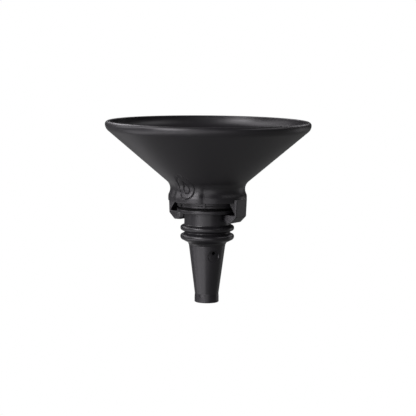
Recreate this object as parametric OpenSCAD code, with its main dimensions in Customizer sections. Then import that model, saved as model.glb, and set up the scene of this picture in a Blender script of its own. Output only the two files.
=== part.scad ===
// Canning funnel: a wide bowl that slides sideways onto the round flange of a
// narrow spout. A soft ribbed sleeve on the spout's neck seals in a bottle's
// mouth, and a ring gasket seals the joint between spout and bowl.
//
// Frame: +Z up along the spout's axis, origin on that axis, half way between
// the two sealing ribs. The channel under the bowl is open towards -Y.

/* [Bowl] */
// Outer radius of the rim
rim_r = 65; // [60:0.5:67]
// Height of the rim's top edge above the origin
rim_z = 70.2; // [68.6:0.1:74]
// Radius of the rounded outer edge of the rim
rim_bead = 2; // [1.2:0.1:2.4]
// Width of the rim, from the outer edge to the inner wall
rim_w = 3.1; // [3:0.1:3.6]
// Wall thickness of the cone, square to its face
cone_wall = 1.9; // [1.6:0.1:2.4]
// Slope of the cone above the horizontal
cone_angle = 40.4; // [38:0.2:41.6]

/* [Collar] */
// Outer radius of the collar at its waist
waist_r = 23.75; // [23.4:0.05:24.2]
// Height of the waist above the origin
waist_z = 27.6; // [27:0.1:28.4]
// Radius of the hollow curve between the cone and the waist
foot_curve = 6.5; // [5:0.1:8]
// Outer radius of the collar at its skirt
skirt_r = 24.9; // [24.6:0.1:25.2]
// Height of the skirt's bottom edge
skirt_z = 20.2; // [19.8:0.1:20.8]
// Height over which the waist flares out to the skirt
flare_h = 4.8; // [4.4:0.1:5.4]
// Angle from the front to the flute at each side of the badge panel
flute_angle = 27.4; // [24:0.2:31]
// Depth of the flutes
flute_depth = 0.7; // [0.3:0.1:1]
// Height of the badge's middle
badge_z = 30.2; // [29.4:0.1:31]
// Depth of the engraved badge
badge_depth = 0.6; // [0.3:0.05:0.7]

/* [Seat and channel] */
// Radius of the upper step of the seat ring
seat_r = 19.6; // [19.2:0.1:20]
// Height of the seat ring's sealing face
seat_z = 16.35; // [16.2:0.05:16.5]
// Radius of the way through the bowl's outlet
throat_r = 12.6; // [11.5:0.1:13]
// Half length of each claw, along the channel
claw_half = 6.1; // [5:0.1:7.5]
// Distance from the axis to the claws' outer face
claw_x = 25.7; // [25.4:0.1:26.4]
// Height of the claws' top edge
claw_top = 22.3; // [21.6:0.1:23.4]
// Height of the lip's bottom face
lip_bottom = 7.2; // [6.6:0.1:7.4]
// Height of the lip's top face, which carries the flange
lip_top = 12.5; // [12.3:0.05:12.6]
// Half width of the slot between the lips
slot_half = 15.1; // [15:0.05:15.4]

/* [Spout] */
// Radius of the flange
flange_r = 19.3; // [18.8:0.1:19.4]
// Height of the flange's top face
flange_top = 15.15; // [15.1:0.05:15.2]
// Thickness of the flange
flange_t = 2.3; // [2:0.05:2.35]
// Outer radius of the neck
neck_r = 14.65; // [14.4:0.05:14.7]
// Outer radius at the top of the nozzle
nozzle_top_r = 11.6; // [11.5:0.1:12.2]
// Outer radius at the foot of the nozzle's taper
nozzle_end_r = 7.55; // [7.4:0.05:8.2]
// Radius of the nozzle's bore at its end
nozzle_bore_r = 6.15; // [5.5:0.05:6.3]
// Depth of the nozzle's end below the origin
nozzle_z = 44.9; // [44:0.2:55]
// Radius of the round hollow that the vent hole opens into
hollow_r = 3.8; // [3:0.1:4.2]
// Depth of that hollow
hollow_depth = 0.9; // [0.4:0.1:0.9]
// Diameter of the vent hole
vent_d = 2.2; // [1.6:0.1:3]

/* [Neck sleeve] */
// Outer radius of the sealing ribs
rib_r = 17.05; // [16.5:0.05:17.5]
// Distance between the ribs, centre to centre
rib_pitch = 5.4; // [5.2:0.1:5.6]
// Radius of the valley between the ribs
valley_r = 14.4; // [14.3:0.1:14.6]
// Width of the flat land on each rib
rib_land = 0.4; // [0.3:0.1:0.6]
// Height of the sleeve's top edge
sleeve_top = 5.4; // [5.2:0.1:5.8]
// Depth of the sleeve's bottom edge
sleeve_bottom = 8.2; // [7.8:0.1:8.4]

/* [Hidden] */
$fn = 96;
EPS = 0.01;
BLACK = [0.09, 0.088, 0.095];
SOFT_BLACK = [0.06, 0.06, 0.065];

// Points of an arc round (x, z), from angle a0 to a1, in about 10 degree steps.
function arc(x, z, r, a0, a1) =
    let (n = max(2, ceil(abs(a1 - a0) / 10)))
    [for (i = [0:n]) let (a = a0 + (a1 - a0) * i / n) [x + r * cos(a), z + r * sin(a)]];

// ---- Bowl, from the rim down ----
run = 1 / tan(cone_angle);          // radius gained per millimetre of height
normal_a = cone_angle - 90;         // direction square to the cone, outwards
cone_foot_r = waist_r + foot_curve * (1 - cos(normal_a));
cone_foot_z = waist_z - foot_curve * sin(normal_a);
bead_z = rim_z - rim_bead;
// Radius of the curve that is upright at the rim's bead and tangent to the cone.
shoulder_r = (cone_foot_r + run * (bead_z - cone_foot_z) - rim_r)
    / (cos(normal_a) - 1 - run * sin(normal_a));
// The flare is two arcs that meet at this slope: the foot curve and a round.
flare_a = 2 * atan((skirt_r - waist_r) / flare_h);
flare_round = flare_h / sin(flare_a) - foot_curve;
flare_z = waist_z - flare_h;

inner_edge_r = 0.6;                 // rounding of the rim's inner edge
inner_r = rim_r - rim_w;
cone_thick = cone_wall / sin(cone_angle);
inner_z = cone_foot_z + (inner_r - cone_foot_r + cone_thick) / run;
inner_bend = 0.9 * (rim_z - inner_edge_r - inner_z);    // height that the inner curve takes of the rim's wall
inner_curve = inner_bend / tan(-normal_a / 2);          // rounding between the rim's wall and the cone
throat_z = cone_foot_z + (throat_r - cone_foot_r + cone_thick) / run;

// Outer outline of the bowl from the skirt to the rim, set in by "inset".
function bowl_outline(inset = 0) = concat(
    [[skirt_r - inset, skirt_z]],
    arc(skirt_r - flare_round, flare_z, flare_round - inset, 0, flare_a),
    arc(waist_r + foot_curve, waist_z, foot_curve + inset, 180 + flare_a, 180 + normal_a),
    arc(rim_r - shoulder_r, bead_z, shoulder_r - inset, normal_a, 0),
    arc(rim_r - rim_bead, bead_z, rim_bead - inset, 0, 90)
);

// Two shallow steps of the seat ring, as seen from the channel's open front.
step_w = 0.5;
step_top = seat_z + 1.7;

module bowl_shell() {
    rotate_extrude()
        polygon(concat(
            [[throat_r, seat_z], [seat_r - 2 * step_w, seat_z],
             [seat_r - step_w, seat_z + step_w], [seat_r - step_w, step_top],
             [seat_r, step_top + step_w], [seat_r, skirt_z]],
            bowl_outline(),
            arc(inner_r + inner_edge_r, rim_z - inner_edge_r, inner_edge_r, 90, 180),
            arc(inner_r - inner_curve, inner_z + inner_bend, inner_curve, 0, normal_a),
            [[throat_r, throat_z]]
        ));
}

// ---- Channel ----
channel_top = skirt_z + 0.5;        // the channel's walls run up into the skirt
wall_in = 20.4;                     // inner face of the wall below the skirt
wall_in_z = 18.8;
pocket_x = 24;                      // widest part of the pocket for the flange
pocket_z = 13.2;
pocket_foot_x = 23.4;
foot_chamfer = 4;
nose_flat = 0.5;                    // half the upright flat on the lip's nose
pad_in = 22.5;
pad_chamfer = 0.6;

// Outline of the channel's wall and lip, in the plane square to the channel.
// "out" is the wall's outer face, and "draft" how far it leans in at the foot.
module channel_section(out, draft) {
    nose_r = (lip_top - lip_bottom) / 2 - nose_flat;
    nose_x = slot_half + nose_r;
    foot_x = out - draft;
    polygon(concat(
        [[wall_in, channel_top], [wall_in, wall_in_z], [pocket_x, pocket_z],
         [pocket_foot_x, lip_top], [nose_x, lip_top]],
        arc(nose_x, lip_top - nose_r, nose_r, 90, 180),
        arc(nose_x, lip_bottom + nose_r, nose_r, 180, 270),
        [[foot_x - foot_chamfer, lip_bottom], [foot_x, lip_bottom + foot_chamfer],
         [out, channel_top]]
    ));
}

// One claw: a straight arm of the channel, with a flat pad outside that stands
// proud of the collar and reaches up over its flare.
module claw() {
    rotate([90, 0, 0])
        translate([0, 0, -claw_half])
            linear_extrude(height = 2 * claw_half) {
                channel_section(claw_x, 0.5);
                polygon([[pad_in, skirt_z], [claw_x, skirt_z],
                         [claw_x, claw_top - pad_chamfer],
                         [claw_x - pad_chamfer, claw_top], [pad_in, claw_top]]);
            }
}

// The closed back of the channel, half a turn round.
module channel_back() {
    rotate_extrude(angle = 180)
        channel_section(skirt_r, 0.4);
}

// ---- Keys and lead-in ----
key_w = 1.6;
key_in = 2;                         // how far it stands in from the seat ring's edge
key_out = 0.5;                      // how far it stands out of the seat ring
key_rise = 0.6;

// A small upright key on the edge of the seat ring, in line with a flute.
module seat_key() {
    translate([seat_r - key_in, -key_w / 2, seat_z + key_rise])
        cube([key_in + key_out, key_w, skirt_z - seat_z]);
}

lead_angle = 35;
lead_w = 2;                         // how much wider the slot is at its mouth, each side
lead_size = 4;
lead_over = 0.5;                    // height that the cut passes each face of the lip

// A cut that flares the slot at the front end of one lip.
module lead_in() {
    translate([slot_half + lead_w, -claw_half, lip_bottom - lead_over])
        rotate([0, 0, lead_angle])
            translate([-lead_size, -lead_size, 0])
                cube([lead_size, 2 * lead_size, lip_top - lip_bottom + 2 * lead_over]);
}

// ---- Badge: an oval ring with a drop inside it ----
oval_rx = 6;
oval_ry = 7.8;
oval_line = 0.8;
drop_r = 2.6;
drop_z = -1.6;
drop_line = 0.7;
drop_h = 6.2;                       // from the middle of the drop's round to its tip
badge_reach = 40;                   // beyond the bowl's outer face all over the badge
badge_room = 24;                    // height above the skirt's edge that holds the badge

// A drop: a round, and two lines from its tip that touch the round.
module drop(r, h) {
    a = acos(r / h);
    circle(r = r);
    polygon([[-r * sin(a), r * cos(a)], [r * sin(a), r * cos(a)], [0, h]]);
}

module badge_outline() {
    difference() {
        scale([oval_rx, oval_ry]) circle(r = 1);
        scale([oval_rx - oval_line, oval_ry - oval_line]) circle(r = 1);
    }
    inner_drop = (drop_r - drop_line) / drop_r;
    translate([0, drop_z])
        difference() {
            drop(drop_r, drop_h);
            drop(drop_r * inner_drop, drop_h * inner_drop);
        }
}

module badge() {
    intersection() {
        translate([0, 0, badge_z])
            rotate([90, 0, 0])
                linear_extrude(height = 2 * skirt_r)
                    badge_outline();
        difference() {
            translate([0, 0, skirt_z])
                cylinder(r = badge_reach, h = badge_room);
            translate([0, 0, -EPS])
                rotate_extrude()
                    polygon(concat([[0, skirt_z - 1]], bowl_outline(badge_depth), [[0, rim_z]]));
        }
    }
}

flute_r = 1.6;
flute_lean = 4;                     // degrees that a flute leans, so that it runs out at the top

// A cut for one flute, from the skirt's edge up to the waist.
module flute() {
    translate([skirt_r + flute_r - flute_depth, 0, skirt_z - 1])
        rotate([0, -flute_lean, 0])
            cylinder(r = flute_r, h = waist_z - skirt_z + 3);
}

module funnel_bowl() {
    color(BLACK)
        difference() {
            union() {
                bowl_shell();
                channel_back();
                claw();
                mirror([1, 0, 0]) claw();
                for (side = [-1, 1])
                    rotate([0, 0, -90 + side * flute_angle])
                        seat_key();
            }
            for (side = [-1, 1])
                rotate([0, 0, -90 + side * flute_angle])
                    flute();
            lead_in();
            mirror([1, 0, 0]) lead_in();
            badge();
        }
}

// ---- Gasket and the groove in the flange that it lies in ----
gasket_in = 15.3;
gasket_out = 17.3;
gasket_round = 0.5;
gasket_sink = 1.1;                  // how deep the gasket sits in the flange
gasket_free = 0.15;                 // free height under the seat
groove_play = 0.1;

module flange_gasket() {
    round_z = seat_z - gasket_free - gasket_round;
    color(SOFT_BLACK)
        rotate_extrude()
            polygon(concat(
                [[gasket_in, flange_top - gasket_sink], [gasket_out, flange_top - gasket_sink]],
                arc(gasket_out - gasket_round, round_z, gasket_round, 0, 90),
                arc(gasket_in + gasket_round, round_z, gasket_round, 90, 180)
            ));
}

// ---- Spout ----
core_r = 13.3;                      // neck under the sleeve
core_z = -3;
sleeve_foot_r = 11.2;               // neck under the sleeve's foot
sleeve_foot_z = -5.6;
edge_r = 0.4;
tip_r = nozzle_end_r + 0.15;
tip_h = 3.5;                        // length of the thicker ring at the nozzle's end
taper_end = tip_h + 2;
bore_h = 8;                         // straight part of the bore at the nozzle's end
bore_top_r = nozzle_top_r - 1.5;

module spout() {
    flange_bottom = flange_top - flange_t;
    groove_floor = flange_top - gasket_sink - groove_play;
    color(BLACK)
        difference() {
            rotate_extrude()
                polygon(concat(
                    [[throat_r, flange_top], [gasket_in - groove_play, flange_top],
                     [gasket_in - groove_play, groove_floor], [gasket_out + groove_play, groove_floor],
                     [gasket_out + groove_play, flange_top]],
                    arc(flange_r - edge_r, flange_top - edge_r, edge_r, 90, 0),
                    arc(flange_r - edge_r, flange_bottom + edge_r, edge_r, 0, -90),
                    [[neck_r, flange_bottom], [neck_r, sleeve_top], [core_r, sleeve_top],
                     [core_r, core_z], [sleeve_foot_r, sleeve_foot_z],
                     [sleeve_foot_r, -sleeve_bottom], [nozzle_top_r, -sleeve_bottom],
                     [nozzle_end_r, taper_end - nozzle_z], [tip_r, tip_h - nozzle_z]],
                    arc(tip_r - edge_r, edge_r - nozzle_z, edge_r, 0, -90),
                    [[nozzle_bore_r, -nozzle_z], [nozzle_bore_r, bore_h - nozzle_z],
                     [bore_top_r, -sleeve_bottom], [bore_top_r, core_z + 1], [throat_r, 8]]
                ));
            vent();
        }
}

// Outer radius of the nozzle at height z.
function nozzle_r(z) =
    nozzle_top_r + (nozzle_end_r - nozzle_top_r) * (sleeve_bottom + z)
    / (sleeve_bottom - nozzle_z + taper_end);

vent_angle = 57;                    // from the front, towards +X
vent_z = -14.6;
vent_rise = 1.9;                    // from the hollow's middle up to the hole

// A round hollow in the nozzle's outer face, with a small hole through its top.
module vent() {
    ball_r = (pow(hollow_r, 2) + pow(hollow_depth, 2)) / (2 * hollow_depth);
    rotate([0, 0, -90 + vent_angle]) {
        translate([nozzle_r(vent_z) - hollow_depth + ball_r, 0, vent_z])
            sphere(r = ball_r);
        translate([nozzle_r(vent_z), 0, vent_z + vent_rise])
            rotate([0, -90, 0])
                cylinder(d = vent_d, h = 6, center = true);
    }
}

// ---- Sleeve ----
rib_round = 1.45;                   // rounding of the upper rib and of both ribs' tops
low_top_round = 1.3;
low_round = 2.1;                    // the lower rib is fuller below
flank_a = 60;                       // where the upper rib's round turns into its flank

// A rib at height z with a narrow flat land, from angle a0 above it to a1 below
// it. "up" and "down" are the radii of its rounds above and below the land.
function rib(z, up, down, a0, a1) = concat(
    arc(rib_r - up, z + rib_land / 2, up, a0, 0),
    arc(rib_r - down, z - rib_land / 2, down, 0, a1)
);

module neck_sleeve() {
    // The flank runs on in a straight line until it meets the neck's radius.
    flank_r = rib_r - rib_round * (1 - cos(flank_a));
    flank_z = rib_pitch / 2 + rib_land / 2 + rib_round * sin(flank_a)
        + (flank_r - neck_r) / tan(flank_a);
    color(SOFT_BLACK)
        rotate_extrude()
            polygon(concat(
                [[core_r, sleeve_top], [neck_r, sleeve_top], [neck_r, flank_z]],
                rib(rib_pitch / 2, rib_round, rib_round, flank_a, -80),
                [[valley_r, 0]],
                rib(-rib_pitch / 2, low_top_round, low_round, 80, -55),
                [[nozzle_top_r + 0.7, 1.6 - sleeve_bottom], [nozzle_top_r, -sleeve_bottom],
                 [sleeve_foot_r, -sleeve_bottom], [sleeve_foot_r, sleeve_foot_z],
                 [core_r, core_z]]
            ));
}

funnel_bowl();
flange_gasket();
spout();
neck_sleeve();
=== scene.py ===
"""Looks of the canning funnel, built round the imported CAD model.

Lengths are in millimetres until a mesh is made. +Z is up along the spout's axis, the origin is half way
between the two sealing ribs, and the channel under the bowl is open towards -Y, the side with the badge.
"""

import math

import bmesh
import bpy
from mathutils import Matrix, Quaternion, Vector


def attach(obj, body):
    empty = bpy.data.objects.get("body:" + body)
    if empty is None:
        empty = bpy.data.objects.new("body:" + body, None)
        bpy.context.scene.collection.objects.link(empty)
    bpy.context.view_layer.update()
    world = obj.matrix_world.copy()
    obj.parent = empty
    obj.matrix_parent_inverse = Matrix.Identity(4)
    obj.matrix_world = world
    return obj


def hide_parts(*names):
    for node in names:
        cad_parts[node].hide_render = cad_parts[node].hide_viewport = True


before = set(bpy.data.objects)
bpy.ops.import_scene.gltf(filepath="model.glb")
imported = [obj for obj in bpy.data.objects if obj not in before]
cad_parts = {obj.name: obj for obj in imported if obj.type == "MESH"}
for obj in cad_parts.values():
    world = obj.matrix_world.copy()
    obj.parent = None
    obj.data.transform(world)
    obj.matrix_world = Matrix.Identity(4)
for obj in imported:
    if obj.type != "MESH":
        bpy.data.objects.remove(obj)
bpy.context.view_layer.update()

MM = 0.001
scene = bpy.context.scene

# ---------------------------------------------------------------- sizes, as in the CAD part

RIM_R, RIM_Z, RIM_BEAD, RIM_W = 65.0, 70.2, 2.0, 3.1
INNER_EDGE, INNER_BEND = 0.6, 0.9   # INNER_BEND is the share of the rim's inner wall that is curved
CONE_ANGLE, CONE_WALL = 40.4, 1.9
WAIST_R, WAIST_Z, FOOT_CURVE = 23.75, 27.6, 6.5
SKIRT_R, SKIRT_Z, FLARE_H = 24.9, 20.2, 4.8
FLUTE_ANGLE, FLUTE_DEPTH = 27.4, 0.7
BADGE_Z, BADGE_DEPTH = 30.2, 0.6
OVAL_RX, OVAL_RY, OVAL_LINE = 6.0, 7.8, 0.8
DROP_R, DROP_Z, DROP_H, DROP_LINE = 2.6, -1.6, 6.2, 0.7
SEAT_R, SEAT_Z, THROAT_R = 19.6, 16.35, 12.6
STEP_W, STEP_H = 0.5, 1.7
KEY_IN, KEY_OUT, KEY_W, KEY_RISE = 2.0, 0.5, 1.6, 0.6
CLAW_HALF, CLAW_X, CLAW_TOP, PAD_IN = 6.1, 25.7, 22.3, 22.5
LIP_BOTTOM, LIP_TOP, SLOT_HALF = 7.2, 12.5, 15.1
LEAD_W, LEAD_ANGLE = 2.0, 35.0
CHANNEL_TOP, WALL_IN, WALL_IN_Z = 20.7, 20.4, 18.8
POCKET_X, POCKET_Z, POCKET_FOOT_X, FOOT_CHAMFER = 24.0, 13.2, 23.4, 4.0
CLAW_DRAFT, BACK_DRAFT = 0.5, 0.4
FLANGE_R, FLANGE_TOP, FLANGE_T = 19.3, 15.15, 2.3
GASKET_IN, GASKET_OUT, GASKET_SINK, GASKET_FREE, GROOVE_PLAY = 15.3, 17.3, 1.1, 0.15, 0.1
NECK_R = 14.65
CORE_R, CORE_Z, SLEEVE_FOOT_R, SLEEVE_FOOT_Z = 13.3, -3.0, 11.2, -5.6
NOZZLE_TOP_R, NOZZLE_END_R, NOZZLE_BORE_R, NOZZLE_Z = 11.6, 7.55, 6.15, 44.9
TIP_OUT, TIP_H, TAPER_END = 0.15, 3.5, 5.5
BORE_H, BORE_WALL, PASSAGE_TOP_Z = 8.0, 1.5, 8.0
VENT_ANGLE, VENT_Z, HOLLOW_R, VENT_D, VENT_RISE = 57.0, -14.6, 3.8, 2.2, 1.9
RIB_R, RIB_PITCH, VALLEY_R, RIB_LAND = 17.05, 5.4, 14.4, 0.4
SLEEVE_TOP, SLEEVE_BOTTOM = 5.4, 8.2
FRONT = -90                         # degrees from +X to the channel's open side

# ---------------------------------------------------------------- sizes that the looks alone have

SKIRT_EDGE, SEAT_EDGE = 0.35, 0.15  # rounding of the skirt's outer and inner edge
THROAT_EDGE = 0.3                   # rounding of the throat's lower edge
NOSE_FLAT = 0.4                     # half the upright flat on the nose of the channel's lip
FLUTE_IN, FLUTE_OUT = 1.7, 4.5      # width of a flute's two sides, towards the badge and away from it
FLUTE_FADE = 26.5, 33.5             # a flute runs out between these heights
BADGE_EDGE = -0.2, 0.06             # distances from a line's edge between which the engraving runs out
CLAW_BEVEL = 0.4                    # rounding of a claw's two ends
KEY_H, KEY_BEVEL = 4.0, 0.25
SCOOP_DEPTH = 1.2                   # the vent's hollow has a sloping floor, and this is its deepest place
SCOOP_FOOT = 0.15                   # share of that depth that the hollow has at its foot
SCOOP_EDGE = -0.4, 0.1              # distances from the hollow's edge between which it runs out
FINE_TOP, SHAPED_TOP = 40.0, 42.0   # the bowl's outside has a fine mesh, and is shaped, below these heights
UNDIVIDED = 99.0                    # a step that is longer than any straight

# ---------------------------------------------------------------- outlines


def arc(x, z, radius, a0, a1, step=6.0):
    """Points of an arc round (x, z), angles in degrees."""
    count = max(2, math.ceil(abs(a1 - a0) / step))
    points = []
    for i in range(count + 1):
        a = math.radians(a0 + (a1 - a0) * i / count)
        points.append((x + radius * math.cos(a), z + radius * math.sin(a)))
    return points


def rounded(corners, step=12.0):
    """A closed outline from corners (x, z, radius of the rounding there)."""
    outline = []
    for i, (x, z, radius) in enumerate(corners):
        here = Vector((x, z))
        back = Vector(corners[i - 1][:2]) - here
        ahead = Vector(corners[(i + 1) % len(corners)][:2]) - here
        if radius <= 0 or back.length < 1e-6 or ahead.length < 1e-6:
            outline.append((x, z))
            continue
        u, v = back.normalized(), ahead.normalized()
        angle = u.angle(v)
        if angle > math.pi - 0.02:
            outline.append((x, z))
            continue
        reach = min(radius / math.tan(angle / 2), 0.48 * back.length, 0.48 * ahead.length)
        real = reach * math.tan(angle / 2)
        centre = here + (u + v).normalized() * (real / math.sin(angle / 2))
        start, end = here + u * reach - centre, here + v * reach - centre
        turn = start.angle_signed(end)
        count = max(2, math.ceil(math.degrees(abs(turn)) / step))
        for k in range(count + 1):
            a = -turn * k / count
            c, s = math.cos(a), math.sin(a)
            outline.append((centre.x + start.x * c - start.y * s, centre.y + start.x * s + start.y * c))
    return outline


def dense(outline, step, near=0.25):
    """The closed outline with its long straights divided, and a short one at each of their ends."""
    points = []
    for i, (x, z) in enumerate(outline):
        a, b = Vector((x, z)), Vector(outline[(i + 1) % len(outline)])
        length = (b - a).length
        points.append((x, z))
        if length <= 3 * near:
            continue
        size = step(0.5 * (a + b)) if callable(step) else step
        count = max(1, math.ceil((length - 2 * near) / size))
        stops = [near + (length - 2 * near) * k / count for k in range(count + 1)]
        points += [tuple(a + (b - a) * (stop / length)) for stop in stops]
    return points


def offset(outline, inset):
    """The closed outline moved inwards by inset. It runs anticlockwise."""
    moved = []
    for i, (x, z) in enumerate(outline):
        before = Vector(outline[i - 1]) - Vector((x, z))
        after = Vector(outline[(i + 1) % len(outline)]) - Vector((x, z))
        if before.length < 1e-7 or after.length < 1e-7:
            moved.append((x, z))
            continue
        n1 = Vector((before.y, -before.x)).normalized()
        n2 = Vector((-after.y, after.x)).normalized()
        n = n1 + n2
        if n.length < 1e-6:
            moved.append((x, z))
            continue
        n.normalize()
        scale = inset / max(0.5, n.dot(n2))
        moved.append((x + n.x * scale, z + n.y * scale))
    return moved


def anticlockwise(outline):
    """The closed outline, turned about if it runs clockwise."""
    area = sum(
        outline[i - 1][0] * outline[i][1] - outline[i][0] * outline[i - 1][1] for i in range(len(outline))
    )
    return outline if area > 0 else outline[::-1]


# ---------------------------------------------------------------- meshes


def to_object(name, points, faces):
    """An object in the scene, from points in millimetres."""
    mesh = bpy.data.meshes.new(name)
    mesh.from_pydata([tuple(v * MM for v in p) for p in points], [], faces)
    mesh.validate()
    mesh.update()
    thing = bpy.data.objects.new(name, mesh)
    scene.collection.objects.link(thing)
    return thing


def revolve(name, outline, angles, shape=None):
    """A closed outline turned round the axis. shape moves a point (x, y, z) of it."""
    outline = anticlockwise(outline)
    points, faces = [], []
    columns, rows = len(angles), len(outline)
    for angle in angles:
        c, s = math.cos(angle), math.sin(angle)
        for r, z in outline:
            p = (r * c, r * s, z)
            points.append(shape(*p) if shape else p)
    for j in range(columns):
        k = (j + 1) % columns
        for i in range(rows):
            n = (i + 1) % rows
            faces.append((j * rows + i, k * rows + i, k * rows + n, j * rows + n))
    return to_object(name, points, faces)


def loft(name, sections):
    """Closed outlines of equally many points, joined one after the other, with both ends capped."""
    points = [p for section in sections for p in section]
    size = len(sections[0])
    faces = []
    for j in range(len(sections) - 1):
        for i in range(size):
            n = (i + 1) % size
            faces.append((j * size + i, j * size + n, (j + 1) * size + n, (j + 1) * size + i))
    faces.append(tuple(range(size))[::-1])
    faces.append(tuple(range((len(sections) - 1) * size, len(sections) * size)))
    thing = to_object(name, points, faces)
    tidy = bmesh.new()
    tidy.from_mesh(thing.data)
    bmesh.ops.triangulate(tidy, faces=[f for f in tidy.faces if len(f.verts) > 4])
    bmesh.ops.recalc_face_normals(tidy, faces=tidy.faces)
    tidy.to_mesh(thing.data)
    tidy.free()
    return thing


def block(name, size, bevel, place):
    """A box of that size with rounded edges. place moves a point of it."""
    made = bmesh.new()
    bmesh.ops.create_cube(made, size=1.0)
    for v in made.verts:
        v.co = Vector((v.co.x * size[0], v.co.y * size[1], v.co.z * size[2]))
    bmesh.ops.bevel(made, geom=list(made.edges), offset=bevel, segments=3, profile=0.5, affect="EDGES")
    points = [place(v.co) for v in made.verts]
    faces = [tuple(v.index for v in f.verts) for f in made.faces]
    made.free()
    return to_object(name, points, faces)


def combine(target, tool, operation):
    """target joined with, or cut by, tool, which is then gone."""
    step = target.modifiers.new("combine", "BOOLEAN")
    step.operation = operation
    step.solver = "EXACT"
    step.object = tool
    bpy.context.view_layer.update()
    made = bpy.data.meshes.new_from_object(target.evaluated_get(bpy.context.evaluated_depsgraph_get()))
    target.modifiers.remove(step)
    target.data = made
    bpy.data.objects.remove(tool)


def finish_surface(thing, sharp=40.0):
    """Smooth shading, except over edges that turn by more than sharp degrees."""
    mesh = thing.data
    for p in mesh.polygons:
        p.use_smooth = True
    mesh.set_sharp_from_angle(angle=math.radians(sharp))


def evenly(step):
    """Angles round the full circle, every step degrees."""
    return [math.radians(step * i) for i in range(round(360 / step))]


def spread(middle, half, fine, coarse):
    """Angles round the circle: every fine degrees within half of the middle, every coarse elsewhere."""
    fine_count, rest = round(2 * half / fine), 360 - 2 * half
    coarse_count = round(rest / coarse)
    angles = [middle - half + 2 * half * i / fine_count for i in range(fine_count)]
    angles += [middle + half + rest * i / coarse_count for i in range(coarse_count)]
    return [math.radians(a) for a in angles]


def smooth(low, high, value):
    """From 0 at low to 1 at high, level at both."""
    t = min(1.0, max(0.0, (value - low) / (high - low)))
    return t * t * (3 - 2 * t)


# ---------------------------------------------------------------- bowl


def bowl_outline():
    """The bowl's wall: from the seat out to the skirt, up the outside to the rim, down the inside."""
    run = 1 / math.tan(math.radians(CONE_ANGLE))
    normal = CONE_ANGLE - 90
    c, s = math.cos(math.radians(normal)), math.sin(math.radians(normal))
    foot_r = WAIST_R + FOOT_CURVE * (1 - c)
    foot_z = WAIST_Z - FOOT_CURVE * s
    bead_z = RIM_Z - RIM_BEAD
    shoulder = (foot_r + run * (bead_z - foot_z) - RIM_R) / (c - 1 - run * s)
    flare = 2 * math.degrees(math.atan((SKIRT_R - WAIST_R) / FLARE_H))
    flare_round = FLARE_H / math.sin(math.radians(flare)) - FOOT_CURVE
    inner_r = RIM_R - RIM_W
    thick = CONE_WALL / math.sin(math.radians(CONE_ANGLE))
    inner_z = foot_z + (inner_r - foot_r + thick) / run
    throat_z = foot_z + (THROAT_R - foot_r + thick) / run
    bend = INNER_BEND * (RIM_Z - INNER_EDGE - inner_z)
    curve = bend / math.tan(math.radians(-normal / 2))
    step_r, step_top = SEAT_R - STEP_W, SEAT_Z + STEP_H
    seat = [
        (THROAT_R + THROAT_EDGE, SEAT_Z), (SEAT_R - 2 * STEP_W - 0.1, SEAT_Z),
        (step_r, SEAT_Z + STEP_W), (step_r, step_top),
        (SEAT_R, step_top + STEP_W), (SEAT_R, SKIRT_Z - SEAT_EDGE),
        (SEAT_R + SEAT_EDGE, SKIRT_Z), (SKIRT_R - SKIRT_EDGE, SKIRT_Z), (SKIRT_R - 0.1, SKIRT_Z + 0.1),
        (SKIRT_R, SKIRT_Z + SKIRT_EDGE),
    ]
    outside = (
        arc(SKIRT_R - flare_round, WAIST_Z - FLARE_H, flare_round, 0, flare)
        + arc(WAIST_R + FOOT_CURVE, WAIST_Z, FOOT_CURVE, 180 + flare, 180 + normal)
        + arc(RIM_R - shoulder, bead_z, shoulder, normal, 0)
        + arc(RIM_R - RIM_BEAD, bead_z, RIM_BEAD, 0, 90)
    )
    inside = (
        arc(inner_r + INNER_EDGE, RIM_Z - INNER_EDGE, INNER_EDGE, 90, 180, 15)
        + arc(inner_r - curve, inner_z + bend, curve, 0, normal)
        + [(THROAT_R + 2.0, throat_z + 2.0 / run), (THROAT_R + 0.7, throat_z + 0.4)]
        + [(THROAT_R, throat_z - 0.9), (THROAT_R, SEAT_Z + THROAT_EDGE)]
    )

    def step(middle):
        """Length of the steps round here: short on the outside of the collar."""
        beside_cone = middle.x > foot_r + run * (middle.y - foot_z) - 1
        collar = SKIRT_Z < middle.y < FINE_TOP and middle.x > WAIST_R - 0.5
        return 0.25 if collar and beside_cone else 1.6

    return dense(seat + outside + inside, step)


def drop_distance(u, w):
    """Distance from the drop's outline, negative inside it. w is measured from the middle of its round."""
    u = abs(u)
    slope = DROP_R / DROP_H
    side = math.sqrt(1 - slope * slope)
    along = side * w - slope * u
    if along < 0:
        return math.hypot(u, w) - DROP_R
    if along > side * DROP_H:
        return math.hypot(u, w - DROP_H)
    return side * u + slope * w - DROP_R


def badge_depth(u, w):
    """Depth of the engraving at u across and w above the badge's middle."""
    rx, ry = OVAL_RX - OVAL_LINE / 2, OVAL_RY - OVAL_LINE / 2
    size = math.hypot(u / rx, w / ry)
    if size < 1e-6:
        ring = math.inf
    else:
        gradient = math.hypot(u / rx ** 2, w / ry ** 2) / size
        ring = abs(size - 1) / gradient - OVAL_LINE / 2
    nearest = min(ring, abs(drop_distance(u, w - DROP_Z) + DROP_LINE / 2) - DROP_LINE / 2)
    return BADGE_DEPTH * (1 - smooth(*BADGE_EDGE, nearest))


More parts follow.
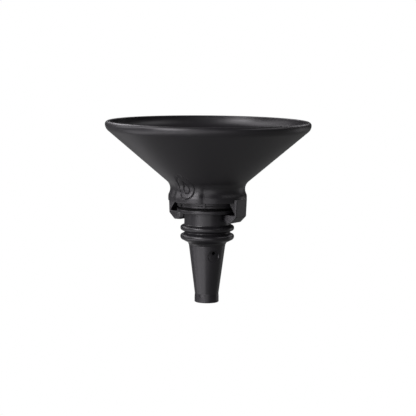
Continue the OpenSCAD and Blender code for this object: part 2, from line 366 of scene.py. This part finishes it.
def shape_bowl(x, y, z):
    """The two flutes and the badge, pressed into the front of the bowl's outside."""
    r = math.hypot(x, y)
    inside_cone = WAIST_R + (z - WAIST_Z) / math.tan(math.radians(CONE_ANGLE)) - 5.0
    if y > 0 or not SKIRT_Z - 0.01 < z < SHAPED_TOP or r < max(WAIST_R - 0.6, inside_cone):
        return x, y, z
    inset = 0.0
    for side in (-1, 1):
        middle = math.radians(FRONT + side * FLUTE_ANGLE)
        away = abs(math.remainder(math.atan2(y, x) - middle, 2 * math.pi)) * WAIST_R
        fade = 1 - smooth(*FLUTE_FADE, z)
        width = FLUTE_IN if abs(x) < WAIST_R * math.sin(math.radians(FLUTE_ANGLE)) else FLUTE_OUT
        inset += FLUTE_DEPTH * fade * math.exp(-((away / width) ** 2))
    if abs(x) < OVAL_RX + 2 and abs(z - BADGE_Z) < OVAL_RY + 1.2:
        inset += badge_depth(x, z - BADGE_Z)
    k = (r - inset) / r
    return x * k, y * k, z


def channel_corners(out, draft, slot, top):
    """The channel's wall and lip in the plane square to it, and the corners of its top."""
    nose = (LIP_TOP - LIP_BOTTOM) / 2 - NOSE_FLAT
    corners = [
        (WALL_IN, CHANNEL_TOP, 0), (WALL_IN, WALL_IN_Z, 0.4),
        (POCKET_X, POCKET_Z, 0.4), (POCKET_FOOT_X, LIP_TOP, 0.25),
        (slot, LIP_TOP, nose), (slot, LIP_BOTTOM, nose),
        (out - draft - FOOT_CHAMFER, LIP_BOTTOM, 1.0), (out - draft, LIP_BOTTOM + FOOT_CHAMFER, 1.0),
    ]
    return corners + top


def claw(side):
    """A claw, from its front end to its back end. Its outline is set in where the ends are rounded."""
    top = [(CLAW_X, CLAW_TOP, 0.5), (PAD_IN, CLAW_TOP, 0), (PAD_IN, CHANNEL_TOP, 0)]
    flat, count = CLAW_HALF - CLAW_BEVEL, 24
    front_end = []
    for degrees in (90, 60, 30, 0):
        a = math.radians(degrees)
        front_end.append((-flat - CLAW_BEVEL * math.sin(a), CLAW_BEVEL * (1 - math.cos(a))))
    middle = [(-flat + 2 * flat * k / count, 0.0) for k in range(1, count)]
    back_end = [(-y, inset) for y, inset in reversed(front_end)]
    sections = []
    for y, inset in front_end + middle + back_end:
        mouth = max(0.0, LEAD_W - (y + CLAW_HALF) / math.tan(math.radians(LEAD_ANGLE)))
        outline = dense(rounded(channel_corners(CLAW_X, CLAW_DRAFT, SLOT_HALF + mouth, top)), UNDIVIDED)
        outline = offset(anticlockwise(outline), inset)
        sections.append([(side * x, y, z) for x, z in outline])
    return loft("claw", sections)


def channel_back():
    """The channel's closed back, half a turn round."""
    outline = rounded(channel_corners(SKIRT_R, BACK_DRAFT, SLOT_HALF, [(SKIRT_R, CHANNEL_TOP, 0)]))
    outline = dense(outline, UNDIVIDED)
    sections, count = [], 120
    for k in range(count + 1):
        a = math.radians(180 * k / count)
        sections.append([(r * math.cos(a), r * math.sin(a), z) for r, z in outline])
    return loft("channel_back", sections)


def seat_key(side):
    """A small upright key on the edge of the seat ring, in line with a flute."""
    turn = math.radians(FRONT + side * FLUTE_ANGLE)

    def place(p):
        r, t, z = SEAT_R + (KEY_OUT - KEY_IN) / 2 + p.x, p.y, SEAT_Z + (KEY_RISE + KEY_H / 2) + p.z
        return (r * math.cos(turn) - t * math.sin(turn), r * math.sin(turn) + t * math.cos(turn), z)

    return block("seat_key", (KEY_IN + KEY_OUT, KEY_W, KEY_H), KEY_BEVEL, place)


def make_bowl():
    """Cone, collar, channel and keys in one."""
    bowl = revolve("bowl", bowl_outline(), spread(FRONT, 42, 0.5, 1.5), shape_bowl)
    for part in (channel_back(), claw(1), claw(-1), seat_key(-1), seat_key(1)):
        combine(bowl, part, "UNION")
    finish_surface(bowl)
    return bowl


# ---------------------------------------------------------------- gasket, spout and sleeve


def make_gasket():
    """The soft ring in the flange's groove."""
    low, high = FLANGE_TOP - GASKET_SINK, SEAT_Z - GASKET_FREE
    corners = [(GASKET_IN, low, 0.2), (GASKET_OUT, low, 0.2), (GASKET_OUT, high, 0.6), (GASKET_IN, high, 0.6)]
    gasket = revolve("gasket", dense(rounded(corners), 0.6, 0.1), evenly(2))
    finish_surface(gasket)
    return gasket


def nozzle_radius(z):
    """Outer radius of the nozzle's taper at height z."""
    taper = (NOZZLE_END_R - NOZZLE_TOP_R) / (SLEEVE_BOTTOM - NOZZLE_Z + TAPER_END)
    return NOZZLE_TOP_R + taper * (SLEEVE_BOTTOM + z)


def shape_spout(x, y, z):
    """The round scoop in the nozzle's side, deepest at its top."""
    up = z - VENT_Z
    if abs(up) > HOLLOW_R + 0.5 or math.hypot(x, y) < nozzle_radius(z) - 0.2:
        return x, y, z
    turn = math.radians(FRONT + VENT_ANGLE)
    along = x * math.cos(turn) + y * math.sin(turn)
    across = y * math.cos(turn) - x * math.sin(turn)
    if along < 0:
        return x, y, z
    inside = 1 - smooth(*SCOOP_EDGE, math.hypot(across, up) - HOLLOW_R)
    depth = inside * SCOOP_DEPTH * (SCOOP_FOOT + (1 - SCOOP_FOOT) * smooth(-HOLLOW_R, HOLLOW_R, up))
    return x - depth * math.cos(turn), y - depth * math.sin(turn), z


def vent_cut():
    """A round rod through the nozzle's wall, where the vent hole is."""
    turn = math.radians(FRONT + VENT_ANGLE)
    out, across = Vector((math.cos(turn), math.sin(turn), 0)), Vector((-math.sin(turn), math.cos(turn), 0))
    sections, count, reach = [], 48, 3.0
    for depth in (reach, -reach):
        ring = []
        for k in range(count):
            a = 2 * math.pi * k / count
            side, up = VENT_D / 2 * math.cos(a), VENT_Z + VENT_RISE + VENT_D / 2 * math.sin(a)
            ring.append(tuple(out * (nozzle_radius(VENT_Z) + depth) + across * side + Vector((0, 0, up))))
        sections.append(ring)
    return loft("vent_cut", sections)


def make_spout():
    """Flange, neck and nozzle in one, with the gasket's groove and the step that the sleeve fills."""
    low, flange_bottom = -NOZZLE_Z, FLANGE_TOP - FLANGE_T
    groove_in, groove_out = GASKET_IN - GROOVE_PLAY, GASKET_OUT + GROOVE_PLAY
    groove_floor = FLANGE_TOP - GASKET_SINK - GROOVE_PLAY
    tip_r, bore_top_r = NOZZLE_END_R + TIP_OUT, NOZZLE_TOP_R - BORE_WALL
    corners = [
        (THROAT_R, FLANGE_TOP, 0.3), (groove_in, FLANGE_TOP, 0.1), (groove_in, groove_floor, 0),
        (groove_out, groove_floor, 0), (groove_out, FLANGE_TOP, 0.1), (FLANGE_R, FLANGE_TOP, 0.5),
        (FLANGE_R, flange_bottom, 0.5), (NECK_R, flange_bottom, 0.3),
        (NECK_R, SLEEVE_TOP, 0.1), (CORE_R, SLEEVE_TOP, 0), (CORE_R, CORE_Z, 0),
        (SLEEVE_FOOT_R, SLEEVE_FOOT_Z, 0), (SLEEVE_FOOT_R, -SLEEVE_BOTTOM, 0),
        (NOZZLE_TOP_R, -SLEEVE_BOTTOM, 0.08), (NOZZLE_END_R, low + TAPER_END, 1.5),
        (tip_r, low + TIP_H, 1.5), (tip_r, low, 0.45),
        (NOZZLE_BORE_R, low, 0.25), (NOZZLE_BORE_R, low + BORE_H, 2), (bore_top_r, -SLEEVE_BOTTOM, 2),
        (bore_top_r, CORE_Z + 1, 2), (THROAT_R, PASSAGE_TOP_Z, 2),
    ]

    def step(middle):
        """Length of the steps round here: short round the vent."""
        near_vent = abs(middle.y - VENT_Z) < 12 and middle.x > nozzle_radius(middle.y) - 0.3
        return 0.2 if near_vent else 1.2

    angles = spread(FRONT + VENT_ANGLE, 30, 0.75, 2.0)
    spout = revolve("spout_body", dense(rounded(corners), step), angles, shape_spout)
    combine(spout, vent_cut(), "DIFFERENCE")
    finish_surface(spout)
    return spout


def make_sleeve():
    """The soft sleeve with its two ribs. The lower rib is fuller below."""
    rib_round, low_top, low_round, flank = 1.45, 1.3, 2.1, 60.0   # roundings, and the flank's slope
    c, s = math.cos(math.radians(flank)), math.sin(math.radians(flank))
    flank_r = RIB_R - rib_round * (1 - c)
    flank_z = RIB_PITCH / 2 + RIB_LAND / 2 + rib_round * s + (flank_r - NECK_R) * c / s
    high, low, land, fillet = RIB_PITCH / 2, -RIB_PITCH / 2, RIB_LAND / 2, 1.0
    upper_rib = (
        arc(NECK_R + fillet, flank_z + 0.27, fillet, 180, 210, 5)
        + arc(RIB_R - rib_round, high + land, rib_round, flank, 0)
        + arc(RIB_R - rib_round, high - land, rib_round, 0, -80)
    )
    valley = [
        (VALLEY_R + 0.35, 0.45), (VALLEY_R + 0.08, 0.2), (VALLEY_R, 0.0), (VALLEY_R + 0.08, -0.2),
        (VALLEY_R + 0.35, -0.5),
    ]
    lower_rib = (
        arc(RIB_R - low_top, low + land, low_top, 80, 0)
        + arc(RIB_R - low_round, low - land, low_round, 0, -55)
    )
    foot = [
        (NOZZLE_TOP_R + 0.95, -SLEEVE_BOTTOM + 1.75), (NOZZLE_TOP_R + 0.5, -SLEEVE_BOTTOM + 1.2),
        (NOZZLE_TOP_R + 0.12, -SLEEVE_BOTTOM + 0.2), (NOZZLE_TOP_R, -SLEEVE_BOTTOM),
        (SLEEVE_FOOT_R, -SLEEVE_BOTTOM), (SLEEVE_FOOT_R, SLEEVE_FOOT_Z), (CORE_R, CORE_Z),
    ]
    outline = [(CORE_R, SLEEVE_TOP), (NECK_R, SLEEVE_TOP)] + upper_rib + valley + lower_rib + foot
    sleeve = revolve("sleeve", dense(outline, 0.8, 0.2), evenly(2))
    finish_surface(sleeve, 60.0)
    return sleeve


# ---------------------------------------------------------------- materials

PATCH_SCALE = 38.0                  # of the mottling, per metre
TINT_SPREAD, GLOSS_SPREAD = 0.14, 0.035


def satin(name, colour, roughness, specular, grain_size, grain_height):
    """Moulded black material: faint mottling of colour and gloss, and a fine grain, sized in millimetres."""
    material = bpy.data.materials.new(name)
    material.use_nodes = True
    nodes, links = material.node_tree.nodes, material.node_tree.links
    shader = nodes["Principled BSDF"]
    shader.inputs["Specular IOR Level"].default_value = specular
    place = nodes.new("ShaderNodeTexCoord")

    def noise(scale, detail):
        made = nodes.new("ShaderNodeTexNoise")
        made.inputs["Scale"].default_value = scale
        made.inputs["Detail"].default_value = detail
        links.new(place.outputs["Object"], made.inputs["Vector"])
        return made

    patches = noise(PATCH_SCALE, 4.0)
    gloss = nodes.new("ShaderNodeMapRange")
    gloss.inputs["From Min"].default_value = 0.3
    gloss.inputs["From Max"].default_value = 0.7
    gloss.inputs["To Min"].default_value = roughness - GLOSS_SPREAD
    gloss.inputs["To Max"].default_value = roughness + GLOSS_SPREAD
    links.new(patches.outputs["Fac"], gloss.inputs["Value"])
    links.new(gloss.outputs["Result"], shader.inputs["Roughness"])
    tint = nodes.new("ShaderNodeMix")
    tint.data_type = "RGBA"
    for socket, share in (("A", 1 - TINT_SPREAD), ("B", 1 + TINT_SPREAD)):
        tint.inputs[socket].default_value = (*(share * v for v in colour), 1)
    links.new(patches.outputs["Fac"], tint.inputs["Factor"])
    links.new(tint.outputs["Result"], shader.inputs["Base Color"])
    grain = noise(1000.0 / grain_size, 2.0)
    bump = nodes.new("ShaderNodeBump")
    bump.inputs["Strength"].default_value = 1.0
    bump.inputs["Distance"].default_value = grain_height * MM
    links.new(grain.outputs["Fac"], bump.inputs["Height"])
    links.new(bump.outputs["Normal"], shader.inputs["Normal"])
    return material


bowl_plastic = satin("bowl_plastic", (0.0098, 0.0092, 0.0105), 0.38, 0.4, 0.5, 0.006)
spout_plastic = satin("spout_plastic", (0.0098, 0.0092, 0.0108), 0.33, 0.4, 0.5, 0.006)
sleeve_rubber = satin("sleeve_rubber", (0.009, 0.0086, 0.0098), 0.3, 0.4, 0.4, 0.005)
# The gasket's base colour is darker than the sleeve's rubber. Part of that is black rubber, and part is
# painted shade for the dark gap under the skirt where the gasket sits.
gasket_rubber = satin("gasket_rubber", (0.003, 0.003, 0.0031), 0.6, 0.1, 0.4, 0.008)

for build, node, body, slot, material in (
    (make_bowl, "funnel_bowl", "bowl", "bowl_plastic", bowl_plastic),
    (make_gasket, "flange_gasket", "gasket", "gasket_rubber", gasket_rubber),
    (make_spout, "spout", "spout", "spout_plastic", spout_plastic),
    (make_sleeve, "neck_sleeve", "spout", "sleeve_rubber", sleeve_rubber),
):
    piece = build()
    piece.data.materials.clear()
    piece.data.materials.append(material)
    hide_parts(node)
    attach(piece, body)

# ---------------------------------------------------------------- camera

VIEW_AZIMUTH = 33.0      # degrees from the front (-Y) towards +X
VIEW_DROP = 6.7          # degrees that the camera looks down
VIEW_DISTANCE = 0.971    # metres from the aim
VIEW_ROLL = 0.55         # degrees
AIM = Vector((0.00035, 0.0001, 0.0151))
LENS, SENSOR = 132.6, 36.0


def make_camera():
    azimuth, drop = math.radians(VIEW_AZIMUTH), math.radians(VIEW_DROP)
    away = Vector((math.sin(azimuth) * math.cos(drop), -math.cos(azimuth) * math.cos(drop), math.sin(drop)))
    data = bpy.data.cameras.new("camera")
    data.sensor_width = SENSOR
    data.lens = LENS
    data.clip_start = 0.01
    data.clip_end = 20.0
    camera = bpy.data.objects.new("camera", data)
    scene.collection.objects.link(camera)
    camera.location = AIM + away * VIEW_DISTANCE
    camera.rotation_mode = "QUATERNION"
    camera.rotation_quaternion = away.to_track_quat("Z", "Y") @ Quaternion((0, 0, 1), math.radians(VIEW_ROLL))
    scene.camera = camera


make_camera()

# ---------------------------------------------------------------- stage and light

scene.view_settings.view_transform = "Standard"
AMBIENT = 0.07
FLOOR_Z, FLOOR_LIGHT = -0.5, 0.22
FLOOR_REACH, FLOOR_CELLS = 4.0, 8
MIDDLE = Vector((0, 0, 0.02))       # what the lamps point at
LAMP_TINT = (0.985, 0.955, 1.0)

# Level directions from the object, to the camera's right and towards the camera, and straight up.
TURN = math.radians(VIEW_AZIMUTH)
RIGHT = Vector((math.cos(TURN), math.sin(TURN), 0))
NEAR = Vector((math.sin(TURN), -math.cos(TURN), 0))
UP = Vector((0, 0, 1))


def white_to_look_at(tree, default, kind, output, brightness):
    """White to the camera, and only this bright as a light on the object."""
    nodes, links = tree.nodes, tree.links
    nodes.remove(nodes[default])
    seen, lit = nodes.new(kind), nodes.new(kind)
    for shader, strength in ((seen, 1.0), (lit, brightness)):
        shader.inputs["Color"].default_value = (1, 1, 1, 1)
        shader.inputs["Strength"].default_value = strength
    path = nodes.new("ShaderNodeLightPath")
    mix = nodes.new("ShaderNodeMixShader")
    links.new(path.outputs["Is Camera Ray"], mix.inputs["Fac"])
    links.new(lit.outputs[0], mix.inputs[1])
    links.new(seen.outputs[0], mix.inputs[2])
    links.new(mix.outputs["Shader"], nodes[output].inputs["Surface"])


def make_world():
    world = bpy.data.worlds.new("world")
    scene.world = world
    world.use_nodes = True
    white_to_look_at(world.node_tree, "Background", "ShaderNodeBackground", "World Output", AMBIENT)


def make_floor():
    """A level square under the object, in even cells."""
    size = FLOOR_CELLS + 1
    places = [FLOOR_REACH * (2 * i / FLOOR_CELLS - 1) for i in range(size)]
    points = [(x, y, FLOOR_Z) for y in places for x in places]
    corners = [k for k in range(size * FLOOR_CELLS) if k % size < FLOOR_CELLS]
    mesh = bpy.data.meshes.new("floor")
    mesh.from_pydata(points, [], [(k, k + 1, k + 1 + size, k + size) for k in corners])
    floor = bpy.data.objects.new("floor", mesh)
    scene.collection.objects.link(floor)
    material = bpy.data.materials.new("floor")
    material.use_nodes = True
    white_to_look_at(
        material.node_tree, "Principled BSDF", "ShaderNodeEmission", "Material Output", FLOOR_LIGHT
    )
    mesh.materials.append(material)


def softbox(name, azimuth, elevation, distance, size, brightness):
    """A rectangular lamp, in a direction in degrees from the camera's (left is negative).

    size is its width and height in metres, and brightness its radiance, whatever its size.
    """
    a, e = math.radians(azimuth), math.radians(elevation)
    out = NEAR * (math.cos(a) * math.cos(e)) + RIGHT * (math.sin(a) * math.cos(e)) + UP * math.sin(e)
    data = bpy.data.lights.new(name, "AREA")
    data.shape = "RECTANGLE"
    data.size, data.size_y = size
    data.energy = brightness * math.pi * size[0] * size[1]
    data.color = LAMP_TINT
    lamp = bpy.data.objects.new(name, data)
    scene.collection.objects.link(lamp)
    lamp.location = MIDDLE + out * distance
    lamp.rotation_euler = out.to_track_quat("Z", "Y").to_euler()
    lamp.visible_camera = False


make_world()
make_floor()
softbox("key", -66, 44, 1.0, (1.0, 0.6), 3.8)
softbox("left_low", -88, -34, 0.7, (0.5, 0.4), 1.7)
softbox("left_side", -100, 14, 0.9, (0.5, 0.5), 2.2)
softbox("strip", -42, 18, 0.8, (0.34, 0.6), 9.0)
softbox("strip_low", -42, -27, 0.8, (0.75, 0.35), 2.3)
softbox("front", -5, -3, 1.3, (1.1, 0.9), 1.2)
softbox("right", 80, 42, 1.0, (0.8, 0.4), 1.8)
softbox("right_back", 122, -5, 0.9, (0.3, 0.4), 0.7)
softbox("back", -158, -34, 0.75, (0.6, 0.35), 0.3)
softbox("back_left", -146, 34, 1.0, (0.6, 0.25), 5.0)
softbox("back_right", 146, 30, 1.0, (0.5, 0.25), 2.0)
